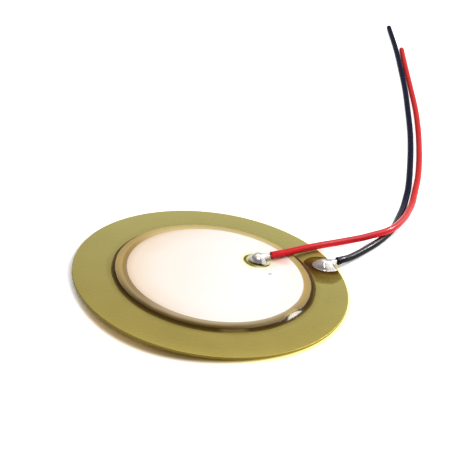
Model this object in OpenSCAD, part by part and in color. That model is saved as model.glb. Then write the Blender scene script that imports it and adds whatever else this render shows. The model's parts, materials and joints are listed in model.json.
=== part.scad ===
// Piezo disc: a silvered ceramic disc glued to a thin round brass plate, with two soldered leads.
// Millimetres, Z up. The origin is the centre of the plate's underside, which lies on Z = 0.
// The leads run away towards +Y along the surface that the plate lies on.

/* [Brass plate] */
// Diameter of the plate
plate_d = 35; // [34.5:0.5:50]
// Thickness of the plate
plate_t = 0.3; // [0.2:0.05:0.5]
// Radius of the rolled edge that stamping leaves all round
plate_edge_r = 0.06; // [0.02:0.01:0.09]

/* [Ceramic disc] */
// Diameter of the ceramic
ceramic_d = 25; // [22:0.5:26]
// Thickness of the ceramic
ceramic_t = 0.17; // [0.12:0.01:0.3]
// How far the ceramic lies off the plate's centre, along X
ceramic_x = 0.2; // [-0.4:0.1:0.4]
// How far the ceramic lies off the plate's centre, along Y
ceramic_y = 0.7; // [-0.7:0.1:0.7]

/* [Silver electrodes] */
// Thickness of each fired silver layer
silver_t = 0.02; // [0.01:0.01:0.04]
// Width of the bare ceramic margin round the silver
silver_margin = 1.25; // [0.8:0.05:2]
// How far the upper silver is printed off the ceramic's centre, along X
silver_x = 0.25; // [-0.4:0.05:0.4]
// How far the upper silver is printed off the ceramic's centre, along Y
silver_y = 0.15; // [-0.4:0.05:0.4]

/* [Adhesive bond] */
// Thickness of the glue between the plate and the lower silver
bond_t = 0.02; // [0.01:0.01:0.05]
// Width of the ring of squeezed-out glue round the ceramic
bond_ring_w = 0.65; // [0.3:0.05:0.8]
// Height of that ring against the ceramic's wall, above the plate
bond_ring_h = 0.17; // [0.1:0.01:0.19]

/* [Solder on the silver] */
// Distance of the joint's centre from the edge of the silver
silver_joint_inset = 4.3; // [3:0.1:6]
// Direction of the joint from the centre of the silver, in degrees from +X
silver_joint_angle = 42; // [36:1:48]
// Radius of the solder bead at its foot
silver_bead_r = 1.25; // [1:0.05:1.4]
// Height of the solder bead
silver_bead_h = 1; // [0.8:0.05:1.2]
// Radius of the flux residue round the bead
silver_flux_r = 2; // [1.6:0.1:2.6]

/* [Solder on the brass] */
// How far the joint's centre lies outside the middle of the bare brass margin
brass_joint_out = 0.15; // [0:0.05:0.2]
// Direction of the joint from the plate's centre, in degrees from +X
brass_joint_angle = 25.5; // [22:0.5:29]
// Brass left on each side of the bead's foot if it stood in the middle of the margin
brass_bead_gap = 0.33; // [0.25:0.01:0.7]
// Height of the solder bead
brass_bead_h = 0.95; // [0.8:0.05:1.2]
// Radius of the flux residue if it were one round drop on open brass, with no bead in it
brass_flux_r = 2.17; // [1.6:0.01:2.8]

/* [Solder and flux] */
// Height of the bare wire's axis above its pad, inside the bead
wire_height = 0.4; // [0.3:0.05:0.5]
// How far the solder climbs the bare wire past the bead's foot
neck_l = 0.25; // [0.1:0.05:0.3]
// Radius of the solder neck at the bead's centre
neck_root_r = 0.5; // [0.4:0.05:0.6]
// Thickness of the solder on the bare wire at the neck's tip
neck_tip_t = 0.06; // [0.03:0.01:0.1]
// Thickness of the flux residue
flux_t = 0.04; // [0.02:0.01:0.06]
// Bare brass left between the flux residue and the edges that stop it
flux_gap = 0.06; // [0.04:0.01:0.2]

/* [Leads] */
// Diameter over the insulation
lead_d = 0.95; // [0.8:0.01:0.95]
// Diameter of the stranded conductor
core_d = 0.4; // [0.3:0.01:0.45]

/* [Hidden] */

// Routes of the leads from where the insulation starts, as [x, y, height of the lead's underside].
// The red lead leaves the silver, drops off the rim, rises over the black lead and lies beside it.
red_route = [[7.2, 6.4, 0.62], [9.2, 7.9, 0.58], [11, 9.4, 0.52], [12.6, 10.7, 0.45], [14.3, 12, 0.38],
    [16, 13.2, 0.33], [17.7, 14.3, 0.37], [19.4, 15.2, 0.54], [21, 16.1, 0.8], [22.3, 16.9, 0.98],
    [23.3, 17.9, 1.03], [24.2, 19.3, 1], [24.9, 20.8, 0.93], [25.7, 22.9, 0.78], [26.5, 25.8, 0.54],
    [27.1, 28.3, 0.35], [27.5, 30.7, 0.2], [28, 34, 0.07], [28.6, 38, 0.02], [29.1, 43, 0], [29.5, 49, 0],
    [29.8, 56, 0], [29.9, 65, 0], [29.6, 75, 0], [29.2, 86, 0], [28.9, 95.5, 0]];
black_route = [[16.1, 8, 0.47], [17.7, 9.8, 0.2], [19.6, 12.5, 0.03], [21.6, 15.5, 0.01], [23.2, 18.5, 0],
    [24.2, 21, 0], [25, 24, 0], [25.8, 27.3, 0], [26.4, 30.7, 0], [26.9, 34, 0], [27.3, 38, 0],
    [27.7, 43, 0], [28.1, 49, 0], [28.4, 56, 0], [28.5, 65, 0], [28.5, 75, 0], [28.2, 85, 0],
    [27.8, 95, 0], [27.2, 103.5, 0], [26.9, 107.5, 0]];

// Facets of round things, sides of a lead and its greatest ring spacing in diameters
round_fn = 180;
bead_fn = 64;
arc_steps = 8;
lead_sides = 8;
ring_spacing = 3;

// Heights of the stack, one layer on the next
plate_top = plate_t;
lower_silver_z = plate_top + bond_t;
ceramic_z = lower_silver_z + silver_t;
ceramic_top = ceramic_z + ceramic_t;
silver_top = ceramic_top + silver_t;

// Radii and centres
plate_r = plate_d / 2;
ceramic_r = ceramic_d / 2;
silver_r = ceramic_r - silver_margin;
bond_r = ceramic_r + bond_ring_w;
ceramic_at = [ceramic_x, ceramic_y, 0];
silver_at = ceramic_at + [silver_x, silver_y, 0];
lead_r = lead_d / 2;
core_r = core_d / 2;

// The joint on the silver stands in from the silver's edge, the one on the brass in the bare margin's middle
silver_joint = silver_at + polar(silver_r - silver_joint_inset, silver_joint_angle) + [0, 0, silver_top];
brass_dir = polar(1, brass_joint_angle);
bond_reach = bond_r + ceramic_at * brass_dir;
brass_joint = ((bond_reach + plate_r) / 2 + brass_joint_out) * brass_dir + [0, 0, plate_top];
brass_bead_r = (plate_r - bond_reach) / 2 - brass_bead_gap;

// The flux round that bead covers the same area wherever it is: what the glue ring and the rim hold back
// runs along the margin
flux_rim_r = plate_r - plate_edge_r - flux_gap;
flux_band = flux_rim_r - bond_reach - flux_gap;
open_flux_r = norm([brass_bead_r, brass_flux_r]);
flux_reach = max(open_flux_r, PI * open_flux_r ^ 2 / (2 * flux_band));

red_points = centres(red_route);
red_wire_end = silver_joint + [0, 0, wire_height];
black_points = centres(black_route);
black_wire_end = brass_joint + [0, 0, wire_height];

// A flat vector of length r at angle a
function polar(r, a) = r * [cos(a), sin(a), 0];
function unit(v) = v / norm(v);
// Radius of the ball whose cap has foot radius r and height h
function ball_r(r, h) = (r * r + h * h) / (2 * h);
// Centreline points of a route
function centres(route) = [for (p = route) [p.x, p.y, p.z + lead_r]];

// Heading at point i of a line: from the point before to the point after, and 'start' at the first point
function heading(line, i, start) =
    i == 0 ? start : unit(line[min(i + 1, len(line) - 1)] - line[i - 1]);
// Point at u (0 to 1) on the smooth curve from a to b whose headings there are ha and hb
function bend(a, b, ha, hb, u) =
    let (chord = norm(b - a))
    (2 * u ^ 3 - 3 * u ^ 2 + 1) * a + (3 * u ^ 2 - 2 * u ^ 3) * b
    + chord * ((u ^ 3 - 2 * u ^ 2 + u) * ha + (u ^ 3 - u ^ 2) * hb);
// Ring centres: each stretch of the line is cut evenly, so rings are at most ring_spacing diameters apart
function stations(line, start) = concat(
    [for (i = [0 : len(line) - 2])
        let (steps = ceil(norm(line[i + 1] - line[i]) / (ring_spacing * lead_d)))
        for (k = [0 : steps - 1])
            bend(line[i], line[i + 1], heading(line, i, start), heading(line, i + 1, start), k / steps)],
    [line[len(line) - 1]]);
// One ring of points about c, square to the heading h; its first point is the lowest
function ring(c, h, r) =
    let (side = unit(cross([0, 0, 1], h)), down = cross(side, h))
    [for (k = [0 : lead_sides - 1])
        c + r * (cos(360 * k / lead_sides) * down + sin(360 * k / lead_sides) * side)];
// All rings of radius r along the line, as one list of points
function tube(line, start, r) =
    [for (i = [0 : len(line) - 1]) each ring(line[i], heading(line, i, start), r)];
// Triangles of a tube's wall from point index 'first', facing outwards, or inwards when 'inner'
function wall(rings, first, inner) =
    [for (i = [0 : rings - 2], k = [0 : lead_sides - 1])
        let (a = first + i * lead_sides + k, b = first + i * lead_sides + (k + 1) % lead_sides)
        each inner ? [[a, b, b + lead_sides], [a, b + lead_sides, a + lead_sides]]
                   : [[a, b + lead_sides, b], [a, a + lead_sides, b + lead_sides]]];

// Fills the plate's outline with its rolled edges and turns it round Z
module brass_plate() {
    mid = plate_r - plate_edge_r;
    edge = [for (k = [0 : arc_steps])
        let (a = 90 * k / arc_steps)
        [mid + plate_edge_r * cos(a), plate_edge_r * sin(a)]];
    top = [for (p = edge) [p.x, plate_t - plate_edge_r + p.y]];
    bottom = [for (k = [arc_steps : -1 : 0]) [edge[k].x, plate_edge_r - edge[k].y]];
    color([0.68, 0.62, 0.36])
        rotate_extrude($fn = round_fn)
            polygon(concat([[0, 0]], bottom, top, [[0, plate_t]]));
}

// The glue under the ceramic and the hollow-faced ring of it round the ceramic's wall
module adhesive_bond() {
    ring_h = min(bond_ring_h, ceramic_top - plate_top);
    face = [for (k = [0 : arc_steps])
        let (a = 90 * k / arc_steps)
        [bond_r - bond_ring_w * sin(a), bond_t + (ring_h - bond_t) * (1 - cos(a))]];
    color([0.25, 0.17, 0.07])
        difference() {
            translate(ceramic_at + [0, 0, plate_top])
                rotate_extrude($fn = round_fn)
                    polygon(concat([[0, 0], [bond_r, 0]], face,
                        [[ceramic_r, ceramic_z - plate_top], [0, ceramic_z - plate_top]]));
            silver_layer(lower_silver_z);
        }
}

module silver_layer(z) {
    translate(silver_at + [0, 0, z])
        cylinder(h = silver_t, r = silver_r, $fn = round_fn);
}

module lower_electrode() {
    color([0.85, 0.83, 0.78]) silver_layer(lower_silver_z);
}

module ceramic_disc() {
    color([0.78, 0.68, 0.48])
        translate(ceramic_at + [0, 0, ceramic_z])
            cylinder(h = ceramic_t, r = ceramic_r, $fn = round_fn);
}

module upper_electrode() {
    color([0.95, 0.93, 0.88]) silver_layer(ceramic_top);
}

// The ball whose cap above the pad is a solder bead
module bead_ball(joint, r, h) {
    translate(joint + [0, 0, h - ball_r(r, h)])
        sphere(r = ball_r(r, h), $fn = bead_fn);
}

// Places its children with their Z axis along the bare wire, from the wire's end towards the insulation
module along_wire(wire_end, line) {
    aim = line[0] - wire_end;
    translate(wire_end)
        rotate([0, acos(aim.z / norm(aim)), atan2(aim.y, aim.x)])
            children();
}

// A bead standing on its pad, with a neck that climbs the bare wire, and the wire's own channel cut in it
module solder_joint(joint, r, h, wire_end, line) {
    reach = r + neck_l;
    difference() {
        intersection() {
            union() {
                bead_ball(joint, r, h);
                along_wire(wire_end, line)
                    cylinder(h = reach, r1 = neck_root_r, r2 = core_r + neck_tip_t, $fn = bead_fn);
            }
            translate(joint) cylinder(h = 2 * h, r = reach + core_r, $fn = round_fn);
        }
        along_wire(wire_end, line) cylinder(h = 2 * reach, r = core_r, $fn = lead_sides);
    }
}

module electrode_solder() {
    color([0.72, 0.72, 0.74])
        solder_joint(silver_joint, silver_bead_r, silver_bead_h, red_wire_end, red_points);
}

module plate_solder() {
    color([0.72, 0.72, 0.74])
        solder_joint(brass_joint, brass_bead_r, brass_bead_h, black_wire_end, black_points);
}

module electrode_flux() {
    color([0.55, 0.5, 0.15])
        difference() {
            translate(silver_joint) cylinder(h = flux_t, r = silver_flux_r, $fn = round_fn);
            bead_ball(silver_joint, silver_bead_r, silver_bead_h);
        }
}

// The residue on the brass stops at the glue ring and at the plate's rolled edge
module plate_flux() {
    color([0.3, 0.2, 0.06])
        difference() {
            intersection() {
                translate(brass_joint) cylinder(h = flux_t, r = flux_reach, $fn = round_fn);
                translate([0, 0, plate_top]) cylinder(h = flux_t, r = flux_rim_r, $fn = round_fn);
            }
            translate(ceramic_at + [0, 0, plate_top - flux_t])
                cylinder(h = 3 * flux_t, r = bond_r + flux_gap, $fn = round_fn);
            bead_ball(brass_joint, brass_bead_r, brass_bead_h);
        }
}

// The plastic jacket: an outer wall, an inner wall that fits the conductor, and two flat cut ends
module jacket(line, start) {
    mids = stations(line, start);
    n = len(mids);
    inside = n * lead_sides;
    ends = [for (k = [0 : lead_sides - 1])
        let (j = (k + 1) % lead_sides, far = inside - lead_sides)
        each [[k, j, inside + j, inside + k],
            [inside + far + k, inside + far + j, far + j, far + k]]];
    polyhedron(concat(tube(mids, start, lead_r), tube(mids, start, core_r)),
        concat(wall(n, 0, false), wall(n, inside, true), ends));
}

// The stranded conductor: bare from its end in the solder to the jacket, then inside it to the cut
module conductor(wire_end, line, start) {
    mids = stations(line, start);
    n = len(mids) + 1;
    polyhedron(concat(ring(wire_end, start, core_r), tube(mids, start, core_r)),
        concat(wall(n, 0, false), [[for (k = [0 : lead_sides - 1]) k],
            [for (k = [1 : lead_sides]) n * lead_sides - k]]));
}

module red_lead_insulation() {
    color([0.86, 0.12, 0.14]) jacket(red_points, unit(red_points[0] - red_wire_end));
}

module red_lead_conductor() {
    color([0.8, 0.79, 0.76]) conductor(red_wire_end, red_points, unit(red_points[0] - red_wire_end));
}

module black_lead_insulation() {
    color([0.1, 0.1, 0.12]) jacket(black_points, unit(black_points[0] - black_wire_end));
}

module black_lead_conductor() {
    color([0.8, 0.79, 0.76]) conductor(black_wire_end, black_points, unit(black_points[0] - black_wire_end));
}

brass_plate();
adhesive_bond();
lower_electrode();
ceramic_disc();
upper_electrode();
electrode_solder();
plate_solder();
electrode_flux();
plate_flux();
red_lead_insulation();
red_lead_conductor();
black_lead_insulation();
black_lead_conductor();
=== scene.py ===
# %% [markdown]
# # A piezo disc with two soldered leads
#
# The real part is a thin round brass plate. A silvered ceramic disc is glued on it, a little off its centre.
# A red lead is soldered to the silver and a black lead to the brass, and both lie along the table behind it.
#
# The solids come packed, at their real size and place. This lesson gives them their looks: it replaces the
# solids whose surface is richer than a plain solid can show, and it paints every surface with shader nodes.
# Lengths are in metres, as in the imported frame.

import json

import bpy
import numpy as np
from mathutils import Matrix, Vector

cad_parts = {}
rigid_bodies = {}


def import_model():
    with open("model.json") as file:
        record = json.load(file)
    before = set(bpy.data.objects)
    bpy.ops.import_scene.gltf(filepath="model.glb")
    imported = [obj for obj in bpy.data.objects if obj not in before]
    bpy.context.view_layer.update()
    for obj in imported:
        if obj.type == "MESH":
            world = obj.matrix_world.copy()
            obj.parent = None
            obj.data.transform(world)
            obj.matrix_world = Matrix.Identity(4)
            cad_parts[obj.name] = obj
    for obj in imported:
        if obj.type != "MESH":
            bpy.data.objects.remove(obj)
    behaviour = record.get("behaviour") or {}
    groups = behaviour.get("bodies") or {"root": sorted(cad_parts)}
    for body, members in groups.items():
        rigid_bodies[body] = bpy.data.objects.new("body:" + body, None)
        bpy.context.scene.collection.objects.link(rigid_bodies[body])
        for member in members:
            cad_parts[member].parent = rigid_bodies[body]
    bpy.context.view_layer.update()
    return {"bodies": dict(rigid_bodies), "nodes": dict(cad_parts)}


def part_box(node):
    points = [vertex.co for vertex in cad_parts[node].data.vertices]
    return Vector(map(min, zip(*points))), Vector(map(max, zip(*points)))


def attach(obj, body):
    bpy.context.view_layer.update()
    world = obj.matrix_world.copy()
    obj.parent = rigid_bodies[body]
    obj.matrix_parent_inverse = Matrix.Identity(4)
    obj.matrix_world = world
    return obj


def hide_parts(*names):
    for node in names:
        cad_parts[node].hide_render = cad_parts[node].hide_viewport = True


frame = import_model()
BODY = next(iter(frame["bodies"]))
MM = 0.001

# %% [markdown]
# ## Where things are
#
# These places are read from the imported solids, so the looks follow them. A bead or a disc stands on a round
# foot, and the box round its lowest points gives the foot's centre and radius.


# %% Read places from the solids
def points_of(node):
    """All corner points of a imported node, one row each."""
    flat = np.empty(3 * len(frame["nodes"][node].data.vertices))
    frame["nodes"][node].data.vertices.foreach_get("co", flat)
    return flat.reshape(-1, 3)


def round_foot(node):
    """Centre and radius of the circle that a node stands on."""
    points = points_of(node)
    foot = points[points[:, 2] < points[:, 2].min() + 0.001 * MM]
    low, high = foot.min(axis=0), foot.max(axis=0)
    return (low + high) / 2, (high[0] - low[0]) / 2


def base_of(node):
    """Height of a node's lowest point."""
    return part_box(node)[0].z


def top_of(node):
    """Height of a node's highest point."""
    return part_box(node)[1].z


plate_centre = np.zeros(3)
plate_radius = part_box("brass_plate")[1].x
plate_top = top_of("brass_plate")
ceramic_centre, ceramic_radius = round_foot("ceramic_disc")
silver_centre, silver_radius = round_foot("upper_electrode")
glue_centre, glue_radius = round_foot("adhesive_bond")
red_joint, black_joint = round_foot("electrode_solder")[0], round_foot("plate_solder")[0]
radii = {"plate": plate_radius, "ceramic": ceramic_radius, "silver": silver_radius, "glue": glue_radius}
print("radii in mm:", {name: round(float(radius / MM), 3) for name, radius in radii.items()})

# %% [markdown]
# ## The camera
#
# The view looks down on the plate at a slant and is tilted a little to one side. A camera looks along its own
# -Z axis, so its matrix is built from three directions: right, up and forward. Rolling it turns right and up
# round the line of sight.

# %% Place the camera
camera_aim = np.array([1.58, 13.39, 0]) * MM
camera_distance = 169.62 * MM
camera_elevation = np.radians(28.53)
camera_roll = np.radians(8.615)

forward = np.array([0, np.cos(camera_elevation), -np.sin(camera_elevation)])
level = np.array([1.0, 0, 0])
upright = np.cross(level, forward)
right = np.cos(camera_roll) * level + np.sin(camera_roll) * upright
up = np.cos(camera_roll) * upright - np.sin(camera_roll) * level

camera = bpy.data.objects.new("camera", bpy.data.cameras.new("camera"))
bpy.context.scene.collection.objects.link(camera)
camera.data.sensor_width = 36
camera.data.lens = 97.4
camera.data.clip_start = 10 * MM
pose = Matrix(np.array([right, up, -forward]).T.tolist()).to_4x4()
camera.matrix_world = Matrix.Translation(camera_aim - forward * camera_distance) @ pose
bpy.context.scene.camera = camera
print("camera at", [round(place / MM, 1) for place in camera.matrix_world.translation], "mm")

# %% [markdown]
# ## From a grid of points to a mesh
#
# Every new piece is a grid: its rows follow a profile or a path, and its columns go once round, so the last
# column joins the first. Two kinds of ends close the rows. A loop joins the last row to the first, as on a
# hollow tube. A cap closes the first and the last row with a fan of triangles about their middle.
#
# A closed surface has a volume, and a negative one means that its faces point inwards, so they are turned
# round. Each piece rides on the part's one body and takes the place of a imported node.


# %% Number the faces and measure the volume
def quads_of(rows, columns, loop):
    """Corner numbers of a grid's faces: each joins a point to the next in its row and to the row after."""
    row = np.arange(rows if loop else rows - 1)[:, None]
    column = np.arange(columns)[None, :]
    after_row, after_column = (row + 1) % rows, (column + 1) % columns
    corners = [row * columns + column, row * columns + after_column,
               after_row * columns + after_column, after_row * columns + column]
    return np.stack(corners, axis=-1).reshape(-1, 4)


def volume_inside(points, quads, triangles):
    """Sum over all triangles of the pyramid that each makes with the origin: a . (b x c) / 6."""
    split = np.vstack([quads[:, [0, 1, 2]], quads[:, [0, 2, 3]], triangles])
    a, b, c = (points[split[:, k]] for k in range(3))
    return np.einsum("ij,ij->", a, np.cross(b, c)) / 6


# %% Make a piece from grids
def closed_grids(name, node, grids, loop=False):
    """One mesh object from several grids (rows, columns, 3), each closed by a loop or by caps."""
    points, quads, triangles, start = [], [], [], 0
    for grid in grids:
        rows, columns = grid.shape[:2]
        points.append(grid.reshape(-1, 3))
        quads.append(start + quads_of(rows, columns, loop))
        count = rows * columns
        if not loop:
            points.append(np.stack([grid[0].mean(axis=0), grid[-1].mean(axis=0)]))
            here, there = np.arange(columns), (np.arange(columns) + 1) % columns
            last = (rows - 1) * columns
            for a, b, middle in [(there, here, count), (last + here, last + there, count + 1)]:
                triangles.append(start + np.stack([a, b, np.full(columns, middle)], axis=-1))
            count += 2
        start += count
    points, quads = np.vstack(points), np.vstack(quads)
    triangles = np.vstack(triangles) if triangles else np.empty((0, 3), int)
    volume = volume_inside(points, quads, triangles)
    if volume < 0:
        quads, triangles = quads[:, ::-1], triangles[:, ::-1]
    mesh = bpy.data.meshes.new(name)
    mesh.from_pydata(points.tolist(), [], quads.tolist() + triangles.tolist())
    mesh.shade_smooth()
    piece = bpy.data.objects.new(name, mesh)
    bpy.context.scene.collection.objects.link(piece)
    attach(piece, BODY)
    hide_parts(node)
    print(f"{name}: {len(points)} points, {abs(volume) / MM**3:.3f} cubic mm")
    return piece


# %% [markdown]
# ## The route of each lead
#
# A lead is a springy wire of fixed length. The points below are its route, from where the plastic starts to
# where it was cut: x, y and the height of its underside, in millimetres. The red lead leaves the silver,
# drops off the rim, climbs over the black lead and then lies beside it.
#
# A cubic Hermite curve joins the points: on each stretch it starts and ends with given headings, so the
# stretches meet without a kink.

# %% Route points
LEAD_RADIUS = 0.475 * MM

red_route = [[7.2, 6.4, 0.62], [9.2, 7.9, 0.58], [11, 9.4, 0.52], [12.6, 10.7, 0.45], [14.3, 12, 0.38],
             [16, 13.2, 0.33], [17.7, 14.3, 0.37], [19.4, 15.2, 0.54], [21, 16.1, 0.8], [22.3, 16.9, 0.98],
             [23.3, 17.9, 1.03], [24.2, 19.3, 1], [24.9, 20.8, 0.93], [25.7, 22.9, 0.78], [26.5, 25.8, 0.54],
             [27.1, 28.3, 0.35], [27.5, 30.7, 0.2], [28, 34, 0.07], [28.6, 38, 0.02], [29.1, 43, 0],
             [29.5, 49, 0], [29.8, 56, 0], [29.9, 65, 0], [29.6, 75, 0], [29.2, 86, 0], [28.9, 95.5, 0]]
black_route = [[16.1, 8, 0.47], [17.7, 9.8, 0.2], [19.6, 12.5, 0.03], [21.6, 15.5, 0.01], [23.2, 18.5, 0],
               [24.2, 21, 0], [25, 24, 0], [25.8, 27.3, 0], [26.4, 30.7, 0], [26.9, 34, 0], [27.3, 38, 0],
               [27.7, 43, 0], [28.1, 49, 0], [28.4, 56, 0], [28.5, 65, 0], [28.5, 75, 0], [28.2, 85, 0],
               [27.8, 95, 0], [27.2, 103.5, 0], [26.9, 107.5, 0]]
print("route points: red", len(red_route), "black", len(black_route))


# %% Smooth a route
def unit(vectors):
    """Vectors divided by their lengths."""
    return vectors / np.linalg.norm(vectors, axis=-1, keepdims=True)


def smooth_line(points, start_heading, samples=24):
    """Hermite curve through the points: with h00 = 2u^3 - 3u^2 + 1 and its three partners, each stretch is
    h00 a + h01 b + chord (h10 heading_a + h11 heading_b). A heading runs from the point before to the one
    after. The line never dips below a lead's radius."""
    headings = unit(np.vstack([start_heading, points[2:] - points[:-2], points[-1:] - points[-2:-1]]))
    a, b = points[:-1, None], points[1:, None]
    chord = np.linalg.norm(b - a, axis=-1, keepdims=True)
    u = np.linspace(0, 1, samples, endpoint=False)[None, :, None]
    curve = (2 * u**3 - 3 * u**2 + 1) * a + (3 * u**2 - 2 * u**3) * b
    curve += chord * ((u**3 - 2 * u**2 + u) * headings[:-1, None] + (u**3 - u**2) * headings[1:, None])
    line = np.vstack([curve.reshape(-1, 3), points[-1:]])
    line[:, 2] = np.maximum(line[:, 2], LEAD_RADIUS)
    return line


# %% Walk along a route
class Path:
    """A line that can be asked for its point and its three directions at any distance along it."""

    def __init__(self, line):
        steps = np.linalg.norm(np.diff(line, axis=0), axis=1)
        self.line = line
        self.along = np.concatenate([[0], np.cumsum(steps)])
        self.length = self.along[-1]
        self.ahead = unit(np.gradient(line, self.along, axis=0, edge_order=1))

    def between(self, values, distance):
        """Values that are known at the line's points, read off at each distance."""
        return np.stack([np.interp(distance, self.along, column) for column in values.T], axis=-1)

    def at(self, distance):
        """Point, sideways, upwards and ahead at each distance; sideways stays level."""
        point = self.between(self.line, distance)
        ahead = unit(self.between(self.ahead, distance))
        side = unit(np.cross([0, 0, 1.0], ahead))
        return point, side, np.cross(ahead, side), ahead


def lead_path(route, wire_end):
    """The path of a lead's plastic, whose first heading is that of the bare wire."""
    points = np.array(route) * MM + [0, 0, LEAD_RADIUS]
    return Path(smooth_line(points, points[:1] - wire_end))


# Height above the pad at which each bare wire ends inside its bead
WIRE_HEIGHT = 0.4 * MM
red_wire_end = red_joint + [0, 0, WIRE_HEIGHT]
black_wire_end = black_joint + [0, 0, WIRE_HEIGHT]
red_path = lead_path(red_route, red_wire_end)
black_path = lead_path(black_route, black_wire_end)
print("plastic in mm: red", round(red_path.length / MM, 1), "black", round(black_path.length / MM, 1))

# %% [markdown]
# ## The plastic jackets
#
# The jacket is a tube of soft plastic that was stripped at one end and cut at the other. Its wall is swept
# as one closed loop: out along the outside, round the lip of the cut, back along the bore and round the lip
# at the start. A knife never cuts quite square, so the last stretch is sheared. A stripper leaves a ragged,
# slightly swollen start. `upward`, a number on each point, says how far that side faces up: 1 on top and -1
# underneath.

# %% Profile and sweep of a jacket
CORE_RADIUS = 0.2 * MM
WRAP_RADIUS = CORE_RADIUS + 0.01 * MM
LIP_RADIUS = 0.05 * MM
RING_STEP = 0.4 * MM


def spoke(turn, up, side):
    """Directions round a line: cos(turn) up + sin(turn) side."""
    return np.cos(turn)[..., None] * up + np.sin(turn)[..., None] * side


def sweep(path, distance, radius, turn, shear):
    """Grid of points: at each distance a circle of that radius about the path, sheared along the path."""
    point, side, upward, ahead = (v[:, None] for v in path.at(distance))
    return point + radius[..., None] * spoke(turn, upward, side) + shear[..., None] * ahead


def jacket_profile(length, bore, lip):
    """Distances and radii once round the wall: outside, far lip, bore and near lip. A lip's outer corner is
    a quarter circle, and its inner corner one of half the size."""
    quarter = np.linspace(0, np.pi / 2, 5)
    run = np.linspace(lip, length - lip, int(length / RING_STEP))
    outer_s, outer_r = lip * np.sin(quarter), lip * (1 - np.cos(quarter))
    inner_s, inner_r = outer_s / 2, outer_r / 2
    distance = [run, length - lip + outer_s, length - inner_s[::-1], run[::-1],
                lip / 2 - inner_s, lip - outer_s[::-1]]
    radius = [run * 0 + LEAD_RADIUS, LEAD_RADIUS - outer_r, bore + inner_r[::-1], run * 0 + bore,
              bore + inner_r, LEAD_RADIUS - outer_r[::-1]]
    return np.concatenate(distance), np.concatenate(radius)


# %% Make the jackets
def make_jacket(lead, path, cut_slant, ragged, swell, creep):
    """A swept wall with a slanting cut. Its start is ragged, swells by the share `swell` and has crept
    towards the solder by `creep`."""
    turn = np.linspace(0, 2 * np.pi, 40, endpoint=False)[None, :]
    distance, radius = jacket_profile(path.length, WRAP_RADIUS, LIP_RADIUS)
    cut_run, start_run = 0.9 * MM, 1.1 * MM
    far = np.clip((distance - path.length + cut_run) / cut_run, 0, 1)[:, None] ** 2
    near = np.clip(1 - distance / start_run, 0, 1)[:, None] ** 2
    cut = far * cut_slant * (np.cos(turn - 0.6) - 1)
    teeth = 0.5 * np.sin(2 * turn + 1) + 0.3 * np.sin(5 * turn) + 0.5
    stripped = near * (ragged * teeth - creep)
    is_outside = radius[:, None] > CORE_RADIUS * 1.6
    swollen = 1 + swell * near * (1 - np.cos(turn + 0.3)) / 2 * is_outside
    wall = sweep(path, distance, radius[:, None] * swollen, turn, cut + stripped)
    jacket = closed_grids(f"{lead}_jacket", f"{lead}_lead_insulation", [wall],
                          loop=True)
    upward = jacket.data.attributes.new("upward", "FLOAT", "POINT")
    upward.data.foreach_set("value", np.broadcast_to(np.cos(turn), wall.shape[:2]).ravel())
    return jacket


red_jacket = make_jacket("red", red_path, cut_slant=0.12 * MM, ragged=0.09 * MM, swell=0.08, creep=0)
black_jacket = make_jacket("black", black_path, cut_slant=0.3 * MM, ragged=0.07 * MM, swell=0.32,
                           creep=0.16 * MM)

# %% [markdown]
# ## The stranded conductors
#
# Inside is a bundle of seven tinned copper strands: six laid in a long twist round a straight one. A strand's
# centre goes round the path once in each length of lay, and the strand is a circle carried along that centre.
# The bundle starts inside the solder and ends just past the cut, each strand at its own length.


# %% Lay the strands
def make_strands(lead, jacket_path, wire_end):
    """Seven tubes about one path: six at angle 2 pi distance / lay + k / 6 of a turn, the last straight."""
    path = Path(np.vstack([wire_end, wire_end + (jacket_path.line[0] - wire_end) * 0.5, jacket_path.line]))
    strand_radius = CORE_RADIUS / 3
    lay, end_run = 6 * MM, 0.05 * MM
    turn = np.linspace(0, 2 * np.pi, 10, endpoint=False)[None, :]
    tubes = []
    for k in range(7):
        reach = path.length + (0.05 + 0.03 * np.cos(2.4 * k)) * MM
        distance = np.linspace(0, reach, int(reach / RING_STEP))
        point, side, upward, ahead = (v[:, None] for v in path.at(distance))
        point = point + ahead * np.maximum(distance - path.length, 0)[:, None, None]
        angle = (2 * np.pi * distance / lay + k * np.pi / 3)[:, None]
        off_middle = 2 * strand_radius if k < 6 else 0
        centre = point + off_middle * spoke(angle, upward, side)
        end = np.minimum(1, (reach - distance) / end_run + 0.6)[:, None, None]
        tubes.append(centre + end * strand_radius * spoke(turn, upward, side))
    return closed_grids(f"{lead}_lead_strands", f"{lead}_lead_conductor", tubes)


red_strands = make_strands("red", red_path, red_wire_end)
black_strands = make_strands("black", black_path, black_wire_end)

for jacket, strands, path, wire_end in [(red_jacket, red_strands, red_path, red_wire_end),
                                        (black_jacket, black_strands, black_path, black_wire_end)]:
    round(path.length, 3)
    print(jacket.name, "is a cord of", round(path.length, 3), "m")

# %% [markdown]
# ## Solder beads
#
# Molten solder wets the pad and pulls itself into a dome, and it climbs the bare wire as a thin neck. Seen
# from the wire's end inside the bead, every point of that surface lies on one ray, so the bead is a distance
# for each direction. The grid's poles lie on the wire, which puts the finest mesh on the neck.
#
# Three distances are worked out and joined: to the ball whose cap is the dome, to the neck round the wire,
# and to the flat pad. A soft maximum, half of a + b + the root of (a - b)^2 + k^2, blends the dome into the
# neck. A waist on one side makes each bead as lopsided as a hand-soldered one.


# %% Uneven all round
def bump(turn, at, half_width):
    """A smooth bell of height 1 at an angle in degrees on a circle."""
    away = np.angle(np.exp(1j * (turn - np.radians(at))))
    return np.exp(-((away / np.radians(half_width)) ** 2))


def bumps(turn, runs):
    """Sum of bells, each an angle, a half-width in degrees and a height."""
    return sum(height * bump(turn, at, half_width) for at, half_width, height in runs)


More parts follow.
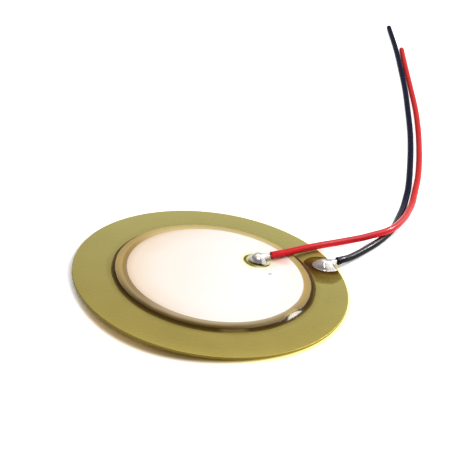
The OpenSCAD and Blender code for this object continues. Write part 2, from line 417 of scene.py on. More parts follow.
def soft_max(a, b, k):
    """The larger of two numbers, rounded off over a width k where they cross."""
    return (a + b + np.hypot(a - b, k)) / 2


def soft_min(a, b, k):
    """The smaller of two numbers, rounded off in the same way."""
    return (a + b - np.hypot(a - b, k)) / 2


# %% Measure along rays
def ray_to_ball(directions, offset, ball):
    """Distance along each ray from a point in a ball to its surface; offset is that point from its centre."""
    across = directions @ offset
    return -across + np.sqrt(across**2 - offset @ offset + ball**2)


def ray_to_neck(lean, root, length):
    """Distance along a ray that leans off the wire to a neck that thins from root to the wire, or to its
    flat end."""
    s = np.linspace(0, length, 200)
    thick = WRAP_RADIUS + (root - CORE_RADIUS) * (1 - s / length)
    table_lean, table_reach = np.arctan2(thick, s)[::-1], np.hypot(thick, s)[::-1]
    return np.where(lean < table_lean[0], length / np.cos(lean), np.interp(lean, table_lean, table_reach))


# %% Shape a bead
def make_bead(pad, path, neck_root, neck_length, waist, seed):
    """Rays from the wire's end to the solder's surface, then a flare that thins out over the pad. The bells
    of `waist` narrow the bead by a share, or widen it where they are below 0."""
    node = f"{pad}_solder"
    joint, foot = round_foot(node)
    height = top_of(node) - joint[2]
    wire_end = joint + [0, 0, WIRE_HEIGHT]
    wire = unit(path.line[0] - wire_end)
    across = unit(np.cross([0, 0, 1.0], wire))
    over = np.cross(wire, across)
    lean = (np.pi * np.linspace(0, 1, 110)[1:-1] ** 1.4)[:, None]
    turn = np.linspace(0, 2 * np.pi, 120, endpoint=False)[None, :]
    rays = np.cos(lean)[..., None] * wire + np.sin(lean)[..., None] * spoke(turn, over, across)
    flare, flare_height, blend = 0.08 * foot, 0.16 * MM, 0.2 * MM
    dome = foot - flare
    ball = (dome**2 + height**2) / (2 * height)
    ripple = 1 + 0.02 * np.sin(3 * turn + seed) * np.sin(lean) ** 2 + 0.015 * np.sin(5 * lean + 2 * seed)
    to_dome = ray_to_ball(rays, np.array([0, 0, WIRE_HEIGHT - height + ball]), ball) * ripple
    reach = soft_max(to_dome, ray_to_neck(lean, neck_root, neck_length), blend)
    falling = rays[..., 2] < 0
    to_pad = WIRE_HEIGHT / np.maximum(-rays[..., 2], 1e-6)
    reach = np.where(falling, np.minimum(reach, to_pad), reach)
    points = wire_end + reach[..., None] * rays
    rise = (points[..., 2:] - joint[2]) / flare_height
    out = points[..., :2] - joint[:2]
    from_axis = np.linalg.norm(out, axis=-1, keepdims=True)
    spread_out = flare * np.exp(-(rise**2) * 2) * np.clip(from_axis / dome, 0, 1) ** 3
    points[..., :2] += out / np.maximum(from_axis, 1e-9) * spread_out
    narrow = 1 - bumps(np.arctan2(out[..., 1], out[..., 0]), waist)
    points[..., :2] = joint[:2] + (points[..., :2] - joint[:2]) * narrow[..., None]
    return closed_grids(f"{pad}_bead", node, [points])


# %% Make both beads
red_waist = [(258, 60, 0.26)]
black_waist = [(250, 65, 0.34), (350, 24, -0.2)]
red_bead = make_bead("electrode", red_path, neck_root=0.6 * MM, neck_length=1.75 * MM, waist=red_waist,
                     seed=0.7)
black_bead = make_bead("plate", black_path, neck_root=0.75 * MM, neck_length=2.2 * MM, waist=black_waist,
                       seed=2.1)

# %% [markdown]
# ## Flux residue
#
# Flux boils out of the solder and dries as a thin film with a thick dark rim, like a coffee stain. Round the
# joint each direction has an inner edge at the bead and an outer edge. On the brass the outer edge is where
# the film meets the glue ring or the rim of the plate: the distance along a ray to each of those circles.


# %% Shape a film
film_turn = np.linspace(0, 2 * np.pi, 240, endpoint=False)[None, :]


def round_axis(centre, radius, turn, height):
    """Points (centre x + radius cos, centre y + radius sin, height) round an upright line."""
    x, y = centre[0] + radius * np.cos(turn), centre[1] + radius * np.sin(turn)
    return np.stack(np.broadcast_arrays(x, y, height), axis=-1)


def make_film(pad, waist, outer, body, rim, rim_at, pool, pool_width):
    """A film from the bead's foot to its outer edge: a thin body, a thick round rim near that edge and a pool
    against the bead. Each may vary round the joint."""
    joint, foot = round_foot(f"{pad}_solder")
    inner = 0.92 * foot * (1 - bumps(film_turn, waist))
    last_bit, lift = 0.08, 0.002 * MM
    share = np.linspace(0, 1, 40)[:, None] ** 0.8
    reach = inner + (outer - inner) * share
    crest = rim * np.exp(-(((share - rim_at) / (0.99 - rim_at)) ** 2))
    crest = crest + pool * np.exp(-(((reach - inner) / pool_width) ** 2))
    height = (body * (1 - share**3) + crest) * np.minimum(1, (1 - share) / last_bit)
    top = round_axis(joint, reach, film_turn, joint[2] + lift + height)
    under = round_axis(joint, reach, film_turn, joint[2] + lift)
    film = np.concatenate([top, under[::-1]])
    return closed_grids(f"{pad}_flux_film", f"{pad}_flux", [film], loop=True)


# %% The film on the silver
red_film_radius = round_foot("electrode_flux")[1]
red_film_edge = red_film_radius * (0.93 + bumps(film_turn, [(175, 40, 0.04), (320, 30, -0.05)]))
red_rim = MM * (0.004 + bumps(film_turn, [(175, 38, 0.026), (240, 25, 0.018), (322, 16, 0.026)]))
red_pool = MM * (0.004 + bumps(film_turn, [(215, 20, 0.04), (258, 28, 0.11), (295, 14, 0.12)]))
red_film = make_film("electrode", red_waist, red_film_edge, body=0.003 * MM,
                     rim=red_rim, rim_at=0.76, pool=red_pool, pool_width=0.32 * MM)


# %% The film on the brass
def ray_to_circle(origin, ray, centre, radius, far):
    """Distance from a point to a circle along rays in the plane: the far crossing, or the near one from
    outside. It is infinite where a ray misses."""
    offset = origin[:2] - centre[:2]
    along = ray @ offset
    root = along**2 - offset @ offset + radius**2
    reach = -along + (1 if far else -1) * np.sqrt(np.maximum(root, 0))
    return np.where((root > 0) & (reach > 0), reach, np.inf)


glue_gap, rim_gap, longest_run = 0.08 * MM, 0.128 * MM, 9 * MM
film_rays = np.stack([np.cos(film_turn[0]), np.sin(film_turn[0])], axis=-1)
to_glue = ray_to_circle(black_joint, film_rays, glue_centre, glue_radius - glue_gap, far=False)
to_rim = ray_to_circle(black_joint, film_rays, plate_centre, plate_radius - rim_gap, far=True)
free_edge = MM * (2.7 + bumps(film_turn, [(272, 50, 1.6), (130, 25, 0.1)]))
black_film_edge = soft_min(np.minimum(free_edge, to_rim), np.minimum(to_glue, longest_run), 0.12 * MM)
black_body = MM * (0.004 + bumps(film_turn, [(180, 38, 0.045), (226, 24, 0.02), (275, 45, 0.009),
                                          (335, 25, 0.008), (100, 35, 0.008)]))
black_rim = MM * (0.001 + bumps(film_turn, [(100, 35, 0.024), (170, 22, 0.02), (215, 20, 0.01)]))
black_pool = MM * (0.001 + bumps(film_turn, [(205, 25, 0.03), (262, 40, 0.06), (325, 25, 0.06)]))
black_film = make_film("plate", black_waist, black_film_edge, body=black_body,
                       rim=black_rim, rim_at=0.82, pool=black_pool, pool_width=0.45 * MM)

# %% [markdown]
# ## Round layers with a true edge
#
# The plate, the ceramic, the silver and the glue are turned shapes: a profile of radius and height carried
# round a centre. What makes them real is the edge. Stamped brass is rounder above than below, ceramic has a
# worn edge, and printed silver thins out and is a little wavy.


# %% Turn a profile
disc_turn = np.linspace(0, 2 * np.pi, 480, endpoint=False)[None, :]


def turned(profile, centre, waver=0.0):
    """Grid of points (radius cos, radius sin, height) about a centre; waver adds to the outer radii."""
    radius, height = (np.array(v)[:, None] for v in zip(*profile))
    radius = np.maximum(radius + waver * (radius > 0.5 * radius.max()), 0.001 * MM)
    return round_axis(centre, radius, disc_turn, height)


def rounded_disc(radius, low, high, under_edge, top_edge, rings=8):
    """Profile of a disc with two rounded edges, from the middle of its underside to the middle of its top."""
    corner = [(np.sin(angle), np.cos(angle)) for angle in np.linspace(0, np.pi / 2, 7)]
    middle = np.linspace(0.02, 1, rings)
    under = [((radius - under_edge) * share, low) for share in middle]
    under += [(radius - under_edge * (1 - sin), low + under_edge * (1 - cos)) for sin, cos in corner[1:]]
    top = [(radius - top_edge * (1 - cos), high - top_edge * (1 - sin)) for sin, cos in corner]
    top += [((radius - top_edge) * share, high) for share in middle[-2::-1]]
    return under + top


# %% Turn the plate, the ceramic and the silver
plate_profile = rounded_disc(plate_radius, 0, plate_top, under_edge=0.03 * MM, top_edge=0.07 * MM)
plate = closed_grids("stamped_plate", "brass_plate", [turned(plate_profile, plate_centre)])

ceramic_low, ceramic_high = base_of("ceramic_disc"), top_of("ceramic_disc")
ceramic_waver = 0.008 * MM * (np.sin(9 * disc_turn) + np.sin(23 * disc_turn + 1) + np.sin(41 * disc_turn + 2))
ceramic_profile = rounded_disc(ceramic_radius - 0.02 * MM, ceramic_low, ceramic_high,
                               under_edge=0.02 * MM, top_edge=0.03 * MM)
ceramic = closed_grids("fired_ceramic", "ceramic_disc",
                       [turned(ceramic_profile, ceramic_centre, ceramic_waver)])

silver_low, silver_high = base_of("upper_electrode"), top_of("upper_electrode")
silver_waver = 0.012 * MM * (np.sin(31 * disc_turn) + np.sin(57 * disc_turn + 2) + np.sin(4 * disc_turn + 1))
silver_profile = rounded_disc(silver_radius + 0.06 * MM, silver_low + 0.001 * MM, silver_high,
                              under_edge=0.002 * MM, top_edge=0.016 * MM, rings=30)
silver = closed_grids("printed_silver", "upper_electrode",
                      [turned(silver_profile, silver_centre, silver_waver)])

# %% [markdown]
# ## The glue ring
#
# Pressing the ceramic down squeezes glue out all round. It climbs the ceramic's wall a little and slopes down
# to the brass. Each direction has its own width and height: a steady one, plus a bell for every run of glue.
# At one place too much came out, welled up over the ceramic's edge and set there as a thick drop.

# %% Width and height of the ring
glue_runs = [(235, 25, 0.1), (270, 14, 0.12), (305, 10, 0.1), (328, 8, 0.08), (200, 14, -0.05),
             (180, 12, -0.12), (346, 12, 0.12), (5, 10, 0.06), (25, 9, 0.08), (60, 20, -0.32),
             (100, 28, -0.3), (145, 25, -0.3)]
WINDOW_AT = 286
glue_width = glue_radius - ceramic_radius - 0.1 * MM + 0.015 * MM * np.sin(17 * disc_turn + 1)
glue_width = glue_width + MM * bumps(disc_turn, glue_runs)
glue_height = (top_of("adhesive_bond") - plate_top) * np.clip(glue_width / (0.5 * MM), 0.45, 1)
glue_height = glue_height * (1 + bumps(disc_turn, [(WINDOW_AT, 6, -0.25), (0, 14, -0.25)]))
print("glue is", (glue_width.min() / MM).round(2), "to", (glue_width.max() / MM).round(2), "mm wide")


# %% Slope of the ring and the drop
def ease(x):
    """Half a cosine wave: 0 before 0, 1 after 1 and (1 - cos(pi x)) / 2 between."""
    return (1 - np.cos(np.pi * np.clip(x, 0, 1))) / 2


DROP_AT = 327
drop = 1 - (1 - bump(disc_turn, DROP_AT, 5.5)) ** 3
overlap = 0.9 * MM * drop
outwards = (np.linspace(1, 0, 40) ** 1.2)[:, None]
inner_gap, outer_lift, meniscus = 0.005 * MM, 0.004 * MM, 0.2
slope = 0.5 * (1 - outwards) ** 1.3 + 0.5 * (np.exp(-outwards / meniscus) - np.exp(-1 / meniscus))
face_radius = ceramic_radius + inner_gap - overlap + (glue_width + overlap) * outwards
face_height = plate_top + outer_lift + (glue_height - outer_lift) * slope

drop_start, drop_climb, drop_fall = 0.204 * MM, 0.19 * MM, 0.38 * MM
crest_at, fall_run = 0.33, 0.6
mound = drop_start + drop_climb * ease(outwards / crest_at)
mound = mound - drop_fall * ease((outwards - crest_at) / fall_run)
face_height = face_height + drop * (plate_top + mound - face_height)
print("the drop stands", round(float(face_height.max() - ceramic_high) / MM, 2), "mm above the ceramic")

# %% Close the ring under the ceramic
hair = 0.001 * MM
lower_silver_base = base_of("lower_electrode")
face = round_axis(glue_centre, face_radius, disc_turn, face_height)
foot_radius = 0.93 * glue_radius
under = turned([(part * foot_radius, plate_top + hair) for part in (0.02, 0.5, 1)], glue_centre)
step = turned([(radius, ceramic_low - hair) for radius in (ceramic_radius, silver_radius + 0.03 * MM)],
              glue_centre)
well_radii = (silver_radius + 0.01 * MM, 0.02 * silver_radius)
well = turned([(radius, lower_silver_base - hair) for radius in well_radii], silver_centre)
glue = closed_grids("squeezed_glue", "adhesive_bond", [np.concatenate([under, face, step, well])])

# %% [markdown]
# ## Shader sums in plain Python
#
# A finish is a network of small nodes. Writing it as sums keeps it readable: the class below wraps one
# output of a node, and +, -, * and / on it add the Math node that does the sum. Any other node comes from
# `node`, which takes the node's kind, its settings and what goes into its sockets.


# %% The Wire class
class Wire:
    """One output in a material's network. Sums of wires and numbers are wires too."""

    def __init__(self, tree, socket=None):
        self.tree, self.socket = tree, socket

    def node(self, kind, sockets=None, settings=None, out=0, stops=None):
        """The wire from one output of a new node, which is fed with numbers or wires."""
        made = self.tree.nodes.new("ShaderNode" + kind)
        for name, value in (settings or {}).items():
            setattr(made, name, value)
        if stops:
            ramp = made.color_ramp.elements
            while len(ramp) < len(stops):
                ramp.new(1)
            for element, (place, tone) in zip(ramp, stops):
                element.position, element.color = place, colour(tone)
        for name, value in (sockets or {}).items():
            if isinstance(value, Wire):
                self.tree.links.new(value.socket, made.inputs[name])
            else:
                made.inputs[name].default_value = value
        return Wire(self.tree, made.outputs[out] if made.outputs else None)

    def sum(self, operation, *values):
        return self.node("Math", dict(enumerate(values)), {"operation": operation})

    def __add__(self, other):
        return self.sum("ADD", self, other)

    def __sub__(self, other):
        return self.sum("SUBTRACT", self, other)

    def __rsub__(self, other):
        return self.sum("SUBTRACT", other, self)

    def __mul__(self, other):
        return self.sum("MULTIPLY", self, other)

    def __truediv__(self, other):
        return self.sum("DIVIDE", self, other)

    __radd__, __rmul__ = __add__, __mul__

    def step(self, start, end):
        """0 before start, 1 after end and smooth between; it falls where start is the larger."""
        if start > end:
            return 1 - self.step(end, start)
        return self.node("MapRange", {"Value": self, "From Min": start, "From Max": end},
                         {"interpolation_type": "SMOOTHSTEP"})

    def mix(self, a, b):
        """The colour between a and b at this share."""
        return self.node("Mix", {0: self, 6: colour(a), 7: colour(b)}, {"data_type": "RGBA"}, out=2)

    def noise(self, scale, detail=3.0, rough=0.5):
        """Cloudy noise over these coordinates; a larger scale makes it finer."""
        return self.node("TexNoise", {"Vector": self, "Scale": scale, "Detail": detail, "Roughness": rough})

    def scaled(self, x, y, z):
        """These coordinates stretched: a larger number packs a pattern tighter that way."""
        return self.node("VectorMath", {0: self, 1: (x, y, z)}, {"operation": "MULTIPLY"})

    def from_point(self, place):
        """These coordinates counted from another point."""
        return self.node("VectorMath", {0: self, 1: tuple(place)}, {"operation": "SUBTRACT"})

    def length(self):
        return self.node("VectorMath", {0: self}, {"operation": "LENGTH"}, out="Value")

    def axes(self):
        """The three numbers of a vector, each a wire."""
        split = self.node("SeparateXYZ", {0: self})
        return [Wire(self.tree, split.socket.node.outputs[k]) for k in range(3)]

    def off_axis(self, centre):
        """Level distance from the upright line through a centre."""
        return self.from_point((*centre[:2], 0)).scaled(1, 1, 0).length()

    def spot(self, place, outside, inside):
        """1 nearer to a place than `inside`, 0 further from it than `outside` and smooth between."""
        return self.from_point(place).length().step(outside, inside)


# %% Start, end and use a finish
def colour(value):
    """A colour given as three numbers gets its fourth; a wire stays as it is."""
    return value if isinstance(value, Wire) else (*value, 1.0)


def new_finish(name):
    """An empty material and the object's own coordinates in millimetres."""
    material = bpy.data.materials.new(name)
    material.use_nodes = True
    material.node_tree.nodes.clear()
    start = Wire(material.node_tree)
    return material, start.node("TexCoord", out="Object").scaled(1 / MM, 1 / MM, 1 / MM)


def surface(material, where, sockets, height=None, bump_depth=0.0):
    """Ends a material: a Principled surface with these sockets, roughened by a height of that depth."""
    if height is not None:
        bump_sockets = {"Strength": 1.0, "Distance": bump_depth * MM, "Height": height}
        sockets = {**sockets, "Normal": where.node("Bump", bump_sockets, out="Normal")}
    where.node("OutputMaterial", {"Surface": where.node("BsdfPrincipled", sockets)})
    print(f"{material.name}: {len(material.node_tree.nodes)} nodes")
    return material


def dress(material, *pieces):
    """Gives pieces this material and no other."""
    for piece in pieces:
        piece.data.materials.clear()
        piece.data.materials.append(material)


# %% [markdown]
# ## Brass
#
# Rolled sheet has fine straight lines from the mill, so its noise is stretched along X. Handling leaves
# cloudy patches, a dark halo follows the glue, and the iron's heat browns the brass near the joint. Painted
# shade darkens the near left a little. The shear-cut edge is duller and darker, and painted shade makes it
# darker still on the left.


# %% Brass finish
def brass_finish():
    material, mm = new_finish("brass")
    x, y, z = mm.axes()
    lines = mm.scaled(0.25, 14, 1).noise(1.0, 4, 0.65)
    clouds = mm.noise(0.16, 3)
    specks = mm.noise(2.6, 4, 0.7).step(0.68, 0.78)
    wall = mm.off_axis(plate_centre).step(plate_radius / MM - 0.07, plate_radius / MM - 0.01)
    halo = (mm.off_axis(glue_centre / MM) + 0.5 * clouds).step(glue_radius / MM + 1.0, glue_radius / MM)
    halo = halo * z.step(0.1, 0.25) * (0.1 + 0.4 * y.step(8, -6))
    heat = mm.spot(black_joint / MM, 5.0, 2.6)
    # painted shade: the brass is made a little darker towards the near left
    painted_near_left_shade = (x + 0.7 * y + 6 * clouds).step(4, -14)
    tone = (y + 9 * clouds).step(19, -14).mix((0.69, 0.60, 0.18), (0.655, 0.505, 0.115))
    tone = (lines * 0.3).mix(tone, (0.50, 0.42, 0.13))
    # mix in the painted shade towards the near left
    tone = (painted_near_left_shade * 0.1).mix(tone, (0.22, 0.17, 0.045))
    tone = halo.mix(tone, (0.30, 0.23, 0.06))
    tone = (heat * 0.6).mix(tone, (0.20, 0.16, 0.025))
    tone = (specks * 0.2).mix(tone, (0.34, 0.25, 0.08))
    # the cut edge is darker and duller; painted shade makes it darker still on the left, less so on the right
    # where the light falls
    tone = (wall * (0.9 - 0.35 * x.step(2, 16))).mix(tone, (0.10, 0.075, 0.012))
    return surface(material, mm, {
        "Base Color": tone, "Metallic": 1.0,
        "Roughness": 0.19 + 0.10 * lines + 0.08 * clouds + 0.22 * wall + 0.2 * specks + 0.3 * heat},
        height=lines, bump_depth=0.004)


dress(brass_finish(), plate)

# %% [markdown]
# ## Ceramic and silver
#
# The ceramic is a matt tan body with fine pores, dark where glue seeped into its rim; painted shade makes
# that dark rim much stronger on the near side, and painted light makes the near side greyer and the far side
# paler.
# A thin brown line lies on it just outside the silver, on the left only. The silver is a paste of flakes that
# was screen-printed and fired: off-white, with the faint weave of the screen, a brownish line where it thins
# out at its edge, and a faint warm stain near its rim. Painted shade makes its left warmer and darker, most
# of all at the rim. Round the joint it is burnt yellow, with a speck of spat-out flux and a painted
# reflection of the red lead beside the lead's end.


# %% Ceramic finish
def ceramic_finish():
    material, mm = new_finish("ceramic")
    x, y = mm.axes()[:2]
    grain = mm.noise(9, 5, 0.7)
    clouds = mm.noise(0.5, 3)
    wall_mm, silver_mm = ceramic_radius / MM, silver_radius / MM
    rim = (mm.off_axis(ceramic_centre / MM) + 0.3 * clouds).step(wall_mm - 1.1, wall_mm - 0.05)
    near, far = y.step(1, -10), y.step(5, 11)
    left = (0.97 * x + 0.26 * y).step(-6, -10.5)
    # a thin brown line just outside the silver's edge, on the left side only
    left_brown_line = (mm.off_axis(silver_centre / MM) + 0.12 * clouds).step(silver_mm + 0.8, silver_mm + 0.5) * left
    # glue seeped into the rim darkens it; painted shade makes that much stronger on the near side and a
    # little weaker on the right
    soak_and_shade = rim * (0.25 + 0.75 * near) * (1 - 0.25 * x.step(2, 8))
    tone = clouds.mix((0.38, 0.265, 0.085), (0.46, 0.325, 0.115))
    # painted light: the near side is greyer and the far side paler
    tone = (near * 0.7).mix(tone, (0.36, 0.30, 0.20))
    tone = (far * 0.9).mix(tone, (0.57, 0.45, 0.19))
    tone = (grain.step(0.55, 0.8) * 0.6).mix(tone, (0.28, 0.18, 0.06))
    tone = (left_brown_line * 0.62).mix(tone, (0.16, 0.095, 0.035))
    tone = soak_and_shade.mix(tone, (0.07, 0.038, 0.003))
    return surface(material, mm, {
        "Base Color": tone, "Roughness": 0.38 + 0.25 * grain - 0.15 * rim, "Specular IOR Level": 0.12},
        height=grain, bump_depth=0.012)


dress(ceramic_finish(), ceramic)

# %% Silver finish
SPECK_AT = (7.34, 2.6, silver_high / MM)
# where a painted reflection of the red lead lies on the silver, beside the lead's end
RED_REFLECTION_AT = (8.6, 6.6, silver_high / MM)


def silver_finish():
    material, mm = new_finish("fired_silver")
    x = mm.axes()[0]
    from_centre = mm.off_axis(silver_centre / MM)
    edge_mm = silver_radius / MM
    grain = mm.noise(7, 5, 0.65)
    clouds = mm.noise(0.35, 4, 0.6)
    weave = sum(mm.node("TexWave", {"Vector": mm, "Scale": 1.25, "Distortion": 0.6},
                        {"bands_direction": axis, "wave_profile": "SIN"}, out="Fac") for axis in "XY")
    left = x.step(2, -edge_mm)
    stain = (from_centre + clouds * 2).step(edge_mm - 3.2, edge_mm + 1.4)
    edge = (from_centre + grain * 0.1).step(edge_mm, edge_mm + 0.12)
    # painted shade: a darker band inside the silver's rim on the left
    left_rim_shade = from_centre.step(edge_mm - 1.0, edge_mm + 0.3) * left
    speck = (mm.from_point(SPECK_AT).length() + 0.25 * grain).step(0.46, 0.26)
    tone = clouds.mix((0.87, 0.86, 0.835), (0.92, 0.915, 0.895))
    tone = (grain.step(0.5, 0.85) * 0.2).mix(tone, (0.66, 0.63, 0.57))
    # painted shade: the left of the silver is warmer and darker
    tone = (x.step(6, -10) * 0.75).mix(tone, (0.84, 0.75, 0.62))
    # a faint warm stain near the rim, which painted shade makes much stronger on the left
    tone = (stain * (0.12 + 0.54 * left)).mix(tone, (0.78, 0.56, 0.38))
    tone = (left_rim_shade * 0.5).mix(tone, (0.52, 0.40, 0.24))
    tone = (speck * 0.8).mix(tone, (0.42, 0.45, 0.36))
    tone = (mm.spot(red_joint / MM, 2.8, 1.7) * 0.6).mix(tone, (0.85, 0.80, 0.45))
    # painted reflection of the red lead
    tone = (mm.spot(RED_REFLECTION_AT, 1.7, 0.5) * 0.55).mix(tone, (0.93, 0.50, 0.32))
    tone = (edge * 0.8).mix(tone, (0.26, 0.17, 0.075))
    return surface(material, mm, {
        "Base Color": tone, "Metallic": 0.3, "Roughness": 0.30 + 0.2 * grain - 0.08 * edge},
        height=grain + 0.25 * weave, bump_depth=0.006)


dress(silver_finish(), silver, frame["nodes"]["lower_electrode"])

# %% [markdown]
# ## Solder, flux and glue
#
# Fresh solder is a mirror with a fine frost and a brown glaze of burnt flux. Flux is clear amber resin, pale
# where it is thin and almost black along its thick rim: its alpha and colour follow the film's height. The
# glue is dark brown resin, glossy where the drop set, amber where it is thin and paler over the ceramic.


# %% Solder finish
def solder_finish():
    material, mm = new_finish("solder")
    frost = mm.noise(5, 5, 0.6)
    dents = mm.noise(1.1, 2, 0.4)
    dross = mm.noise(2.2, 4, 0.7).step(0.62, 0.74)
    glazed = mm.spot(black_joint / MM + [-0.7, 0.7, 0.5], 1.4, 0.7)
    glazed = glazed + 0.5 * mm.spot(red_joint / MM + [0.1, 0.7, 0.5], 1.0, 0.5)
    tone = frost.mix((0.70, 0.69, 0.675), (0.60, 0.585, 0.565))
    tone = (dross * 0.4).mix(tone, (0.34, 0.33, 0.33))
    tone = (glazed * 0.8).mix(tone, (0.50, 0.38, 0.27))
    return surface(material, mm, {
        "Base Color": tone, "Metallic": 1 - 0.75 * glazed,
        "Roughness": 0.12 + 0.14 * frost + 0.25 * dross + 0.25 * glazed},
        height=frost * 0.3 + dents * 2.2, bump_depth=0.03)


dress(solder_finish(), red_bead, black_bead)


# %% Flux finish
def flux_finish(name, pad_height, tones):
    """Flux of three tones: where it is thin, thicker and pooled. Its edge fades out."""
    material, mm = new_finish(name)
    bubbles = mm.noise(4.5, 3)
    depth = mm.axes()[2] - pad_height / MM + 0.006 * (bubbles - 0.5)
    pooled_depth = 0.05
    tone = mm.node("ValToRGB", {"Fac": depth / pooled_depth}, stops=list(zip((0.1, 0.4, 0.95), tones)))
    return surface(material, mm, {
        "Base Color": tone, "Roughness": 0.12 + 0.15 * bubbles, "Specular IOR Level": 0.05,
        "Specular Tint": (1.0, 0.7, 0.2, 1),
        "Alpha": 0.5 * depth.step(0.001, 0.006) + 0.47 * depth.step(0.006, 0.024)},
        height=bubbles, bump_depth=0.01)


pale_tones = [(0.84, 0.80, 0.56), (0.20, 0.16, 0.001), (0.02, 0.012, 0.001)]
dark_tones = [(0.25, 0.185, 0.035), (0.10, 0.052, 0.003), (0.048, 0.019, 0.0005)]
dress(flux_finish("pale_flux", silver_high, pale_tones), red_film)
dress(flux_finish("dark_flux", plate_top, dark_tones), black_film)


# %% Glue finish
def on_ring(degrees, reach):
    """A place over the glue ring in mm, at an angle and a distance from the ring's centre."""
    angle = np.radians(degrees)
    return (*(glue_centre[:2] / MM + reach * np.array([np.cos(angle), np.sin(angle)])), 0.5)


def glue_finish():
    material, mm = new_finish("glue")
    z = mm.axes()[2]
    streaks = mm.noise(1.1, 3)
    depth = (z - plate_top / MM + 0.03 * (streaks - 0.5)).step(-0.01, 0.05)
    scorched = mm.spot(black_joint / MM, 4.6, 2.9)
    wet = mm.spot(on_ring(DROP_AT, 12.4), 3.2, 1.2)
    window = mm.spot(on_ring(WINDOW_AT, 12.8), 2.2, 0.9)
    wall_mm = ceramic_radius / MM
    over_ceramic = mm.off_axis(glue_centre / MM).step(wall_mm - 0.05, wall_mm - 0.3)
    tone = depth.mix((0.12, 0.08, 0.006), (0.03, 0.014, 0.0002))
    tone = (streaks.step(0.5, 0.75) * 0.3).mix(tone, (0.06, 0.034, 0.004))
    tone = (scorched * 0.6).mix(tone, (0.07, 0.014, 0.001))
    tone = (window * 0.5).mix(tone, (0.17, 0.125, 0.03))
    tone = (over_ceramic * 0.9).mix(tone, (0.42, 0.33, 0.13))
    return surface(material, mm, {
        "Base Color": tone, "Roughness": 0.16 + 0.12 * streaks, "Specular IOR Level": 0.12,
        "Specular Tint": (1.0, 0.75, 0.12, 1), "Coat Weight": 0.03 + 0.35 * wet, "Coat Roughness": 0.24,
        "Coat IOR": 1.5},
        height=streaks, bump_depth=0.012)


dress(glue_finish(), glue)

# %% [markdown]
# ## The leads' plastic and wire
#
# The jackets are smooth vinyl with faint flow marks and a soft gloss. Fingers have polished their tops before
# the bend and dulled the far stretch, and their undersides near the joint are painted darker as shade. Tinned
# copper is bright, with a little bare copper where it was scraped.


# %% Lead finishes
def jacket_finish(name, start_tones, far_tone, scuff_tone, underside_shade_tone, gloss, polish):
    material, mm = new_finish(name)
    x, y = mm.axes()[:2]
    flow = mm.noise(1.6, 3)
    scuffs = mm.noise(6, 4, 0.7).step(0.62, 0.8)
    upward = mm.node("Attribute", settings={"attribute_name": "upward"}, out="Fac")
    handled = y.step(17, 33)
    wiped = upward.step(0.45, 0.95) * x.step(11, 16)
    # painted shade: the undersides near the joint are darker
    underside_shade = upward.step(0.1, -0.5) * x.step(15, 10)
    tone = (handled * 0.8).mix(flow.mix(*start_tones), far_tone)
    tone = (scuffs * 0.2).mix(tone, scuff_tone)
    tone = (underside_shade * 0.7).mix(tone, underside_shade_tone)
    return surface(material, mm, {
        "Base Color": tone, "Roughness": 0.28 + 0.12 * flow + 0.15 * scuffs + 0.22 * handled,
        "Specular IOR Level": gloss, "Coat Weight": polish * (1 - handled) * wiped, "Coat Roughness": 0.2,
        "Coat IOR": 1.8},
        height=flow, bump_depth=0.015)


def tinned_finish():
    material, mm = new_finish("tinned_copper")
    wear = mm.noise(3.5, 4, 0.6)
    tone = wear.step(0.6, 0.8).mix((0.76, 0.75, 0.73), (0.62, 0.44, 0.30))
    return surface(material, mm, {"Base Color": tone, "Metallic": 1.0, "Roughness": 0.2 + 0.2 * wear},
                   height=wear, bump_depth=0.006)


dress(jacket_finish(
    "red_vinyl", start_tones=[(0.47, 0.007, 0.012), (0.56, 0.011, 0.018)], far_tone=(0.52, 0.02, 0.016),
    scuff_tone=(0.62, 0.06, 0.06), underside_shade_tone=(0.14, 0.002, 0.002), gloss=0.09, polish=0.6), red_jacket)
dress(jacket_finish(
    "black_vinyl", start_tones=[(0.002, 0.0025, 0.006), (0.004, 0.005, 0.01)], far_tone=(0.002, 0.004, 0.022),
    scuff_tone=(0.02, 0.02, 0.02), underside_shade_tone=(0.001, 0.001, 0.004), gloss=0.04, polish=0.75), black_jacket)
dress(tinned_finish(), red_strands, black_strands)

# %% [markdown]
# ## Light
#
# Shiny metal shows the room around it, so the room itself is painted: dim and warm in front, cooler behind,
# with a bright wall to the right and a bright ceiling. A wide lamp to the right and behind gives the solder
# its bright side, and a small one in front gives it a few sparks.

# %% Room
room = bpy.data.worlds.new("studio")
bpy.context.scene.world = room
room.use_nodes = True
room.node_tree.nodes.clear()
sky = Wire(room.node_tree)
to_right, to_back, to_top = sky.node("TexCoord", out="Generated").axes()
walls = 0.3 + 0.14 * to_back.step(-0.75, 0.1) + 0.8 * to_right.step(0.25, 0.7)
pale_back = 0.26 * to_back.step(0.45, 0.9) * to_top.step(0.62, 0.38)
ceiling = 1.3 * to_top.step(0.55, 1.0)
tint = to_back.step(-0.5, 0.7).mix((1.0, 0.94, 0.90), (0.95, 0.97, 1.0))
glow = sky.node("Background", {"Color": tint, "Strength": walls + pale_back + ceiling})
sky.node("OutputWorld", {"Surface": glow})
print("room:", len(room.node_tree.nodes), "nodes")


# %% Lamps
def lamp(name, towards, distance, size, power):
    """A square lamp that faces the part from a direction; its distance and size are in mm."""
    light = bpy.data.objects.new(name, bpy.data.lights.new(name, "AREA"))
    bpy.context.scene.collection.objects.link(light)
    light.data.size, light.data.energy = size * MM, power
    back = unit(np.array(towards, float))
    side = unit(np.cross([0, 0, 1.0], back))
    facing = Matrix(np.array([side, np.cross(back, side), back]).T.tolist()).to_4x4()
    light.matrix_world = Matrix.Translation(back * distance * MM) @ facing
    print(name, power, "W at", distance, "mm")


lamp("right_softbox", towards=(0.65, 0.44, 0.62), distance=900, size=160, power=3.6)
lamp("small_front_lamp", towards=(-0.1, -0.85, 0.9), distance=420, size=40, power=0.12)

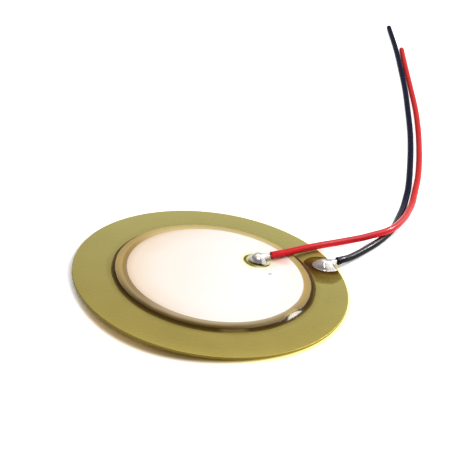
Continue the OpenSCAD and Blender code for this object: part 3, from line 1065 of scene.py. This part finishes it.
# %% [markdown]
# ## The white sheet
#
# The part lies on white paper that dips a little under the near left of the plate, which shows a narrow dark
# gap there. Its grid is fine about the plate and coarse far away: each coordinate grows mostly with the fifth
# power of its place in the grid.
#
# Strong light from all round makes paper pure white, and a glow of its own stands for that light. Under the
# plate only a skirt of it is left, near the rim. Light caught between plate and paper is warm, the brass
# throws some yellow in front of its rim, and the black lead shades the paper below it.

# %% Lay the sheet
spread = np.linspace(-1, 1, 241)
line = 1500 * MM * (0.03 * spread + 0.97 * spread**5)
across, along = np.meshgrid(line, line)
dip_at, dip_depth, dip_width, gap = np.array([-9.3, -15.2]) * MM, 1.3 * MM, 11.8 * MM, 0.02 * MM
from_dip = np.hypot(across - dip_at[0], along - dip_at[1])
sheet_height = -gap - dip_depth * np.exp(-(from_dip / dip_width) ** 2)
side = len(spread)
first_corner = (np.arange(side - 1)[:, None] * side + np.arange(side - 1)).reshape(-1, 1)
sheet = bpy.data.meshes.new("white_sheet")
sheet.from_pydata(np.stack([across, along, sheet_height], axis=-1).reshape(-1, 3).tolist(), [],
                  (first_corner + [0, 1, side + 1, side]).tolist())
sheet.shade_smooth()
floor = bpy.data.objects.new("white_sheet", sheet)
bpy.context.scene.collection.objects.link(floor)
print("sheet dips to", (sheet_height.min() / MM).round(2), "mm")


# %% Sheet finish
def sheet_finish():
    material, mm = new_finish("white_sheet")
    x, y = mm.axes()[:2]
    rim_mm = plate_radius / MM
    from_axis = mm.off_axis(plate_centre)
    right = x.step(-9, -1)
    open_sheet = (from_axis + 0.35 * (x + y)).step(12, 22)
    skirt = 0.85 * (from_axis - 0.07 * (y + 16) - 0.15 * right).step(rim_mm - 0.55, rim_mm + 0.35)
    # painted shade under the near rim: warm, and darker towards the middle of the near side
    near_rim_warm_shade = from_axis.step(rim_mm + 1.0, rim_mm - 0.2) * y.step(-6, -12)
    # painted yellow light that the brass throws onto the paper in front of its rim
    brass_yellow_bounce = 0.75 * from_axis.step(rim_mm + 1.7, rim_mm - 0.2) * (x + 0.35 * y).step(-10, 6)
    beside_lead = 0.83 * (x - 16.45) - 0.56 * (y - 8)
    under_lead = (beside_lead * beside_lead).step(1.7, 0.8) * y.step(6, 8) * y.step(24, 20)
    lit = (open_sheet + skirt - open_sheet * skirt) * (1 - 0.6 * under_lead)
    glow_tone = brass_yellow_bounce.mix((1, 1, 1), (0.6, 0.5, 0.06))
    tone = near_rim_warm_shade.mix((0.92, 0.92, 0.92), right.mix((0.84, 0.70, 0.44), (0.54, 0.43, 0.24)))
    return surface(material, mm, {
        "Base Color": brass_yellow_bounce.mix(tone, (0.92, 0.80, 0.13)), "Roughness": 0.9,
        "Emission Color": lit.mix((0, 0, 0), glow_tone), "Emission Strength": 0.65})


dress(sheet_finish(), floor)

# %% Colours as they are
bpy.context.scene.view_settings.view_transform = "Standard"
bpy.context.scene.view_settings.look = "None"
print("finishes:", sorted(material.name for material in bpy.data.materials if material.users))
